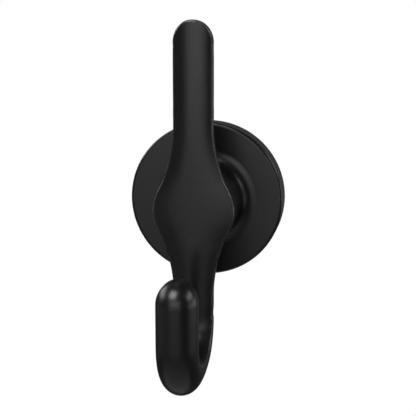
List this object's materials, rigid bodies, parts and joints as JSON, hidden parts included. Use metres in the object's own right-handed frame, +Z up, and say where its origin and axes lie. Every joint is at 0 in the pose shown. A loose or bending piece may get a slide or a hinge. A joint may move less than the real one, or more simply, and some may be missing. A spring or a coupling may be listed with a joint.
{
  "type": "robe hook",
  "caption": "Wall-mounted robe hook: round backplate and post carry a strap that swells over the post, with a straight prong above and a J-shaped hook below, in matt black.",
  "frame": {"origin": "centre of the backplate's rear face, on the post's axis and in the plane of the wall", "axes": "+Y into the wall, so the hook stands out towards -Y; +Z up along the prong; +X across"},
  "size_m": [0.05, 0.0646, 0.1094],
  "materials": {
    "matt_black": "matt black coating on a zinc casting",
    "plated_steel": "zinc plated"
  },
  "bodies": {
    "root": {"hook": "matt_black", "wall_bracket": "plated_steel", "set_screw": "plated_steel"}
  },
  "joints": []
}
